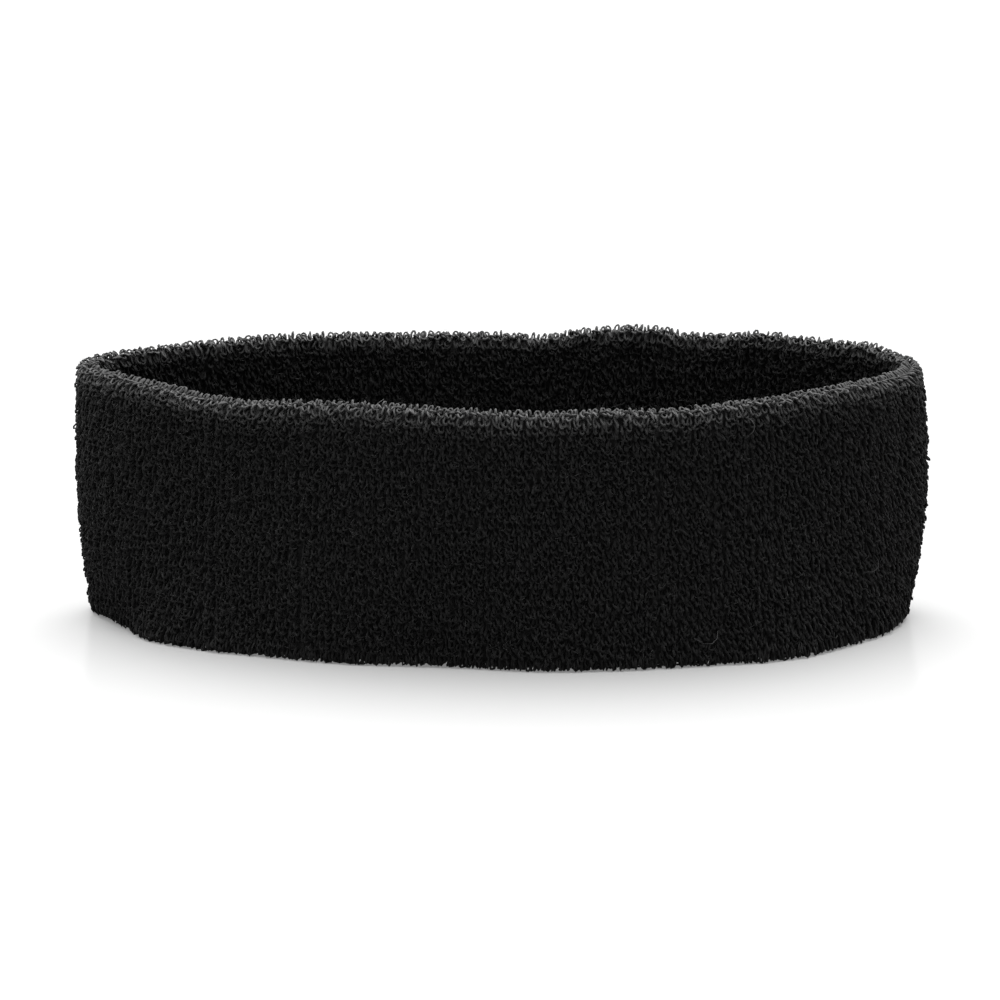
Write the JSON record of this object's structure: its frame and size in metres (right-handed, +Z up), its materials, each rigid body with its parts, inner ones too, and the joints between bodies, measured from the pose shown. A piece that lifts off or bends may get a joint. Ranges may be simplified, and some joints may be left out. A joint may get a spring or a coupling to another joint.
{
  "type": "sports headband",
  "caption": "Black double-layer terry headband, a wide elastic ring with rounded folded edges and a closing seam on the inner face, standing open on its edge.",
  "frame": {"origin": "centre of the band's outline at the edge that it stands on", "axes": "+X along the band's longest extent, towards the end that its front bows nearer to; +Z up through the opening; the fuller front faces -Y"},
  "size_m": [0.167, 0.0668, 0.0515],
  "materials": {
    "terry_pile": "matte cotton loops",
    "ground_knit": "matte fine knit",
    "elastic_yarn": "satin covered elastic",
    "seam_thread": "satin twisted thread"
  },
  "bodies": {
    "root": {"terry_pile": "terry_pile", "ground_knit": "ground_knit", "elastic_course_outer_01": "elastic_yarn", "elastic_course_outer_02": "elastic_yarn", "elastic_course_outer_03": "elastic_yarn", "elastic_course_outer_04": "elastic_yarn", "elastic_course_outer_05": "elastic_yarn", "elastic_course_outer_06": "elastic_yarn", "elastic_course_outer_07": "elastic_yarn", "elastic_course_outer_08": "elastic_yarn", "elastic_course_outer_09": "elastic_yarn", "elastic_course_outer_10": "elastic_yarn", "elastic_course_inner_01": "elastic_yarn", "elastic_course_inner_02": "elastic_yarn", "elastic_course_inner_03": "elastic_yarn", "elastic_course_inner_04": "elastic_yarn", "elastic_course_inner_05": "elastic_yarn", "elastic_course_inner_06": "elastic_yarn", "elastic_course_inner_07": "elastic_yarn", "elastic_course_inner_08": "elastic_yarn", "elastic_course_inner_09": "elastic_yarn", "closing_seam_needle_thread": "seam_thread", "closing_seam_looper_thread": "seam_thread"}
  },
  "joints": []
}
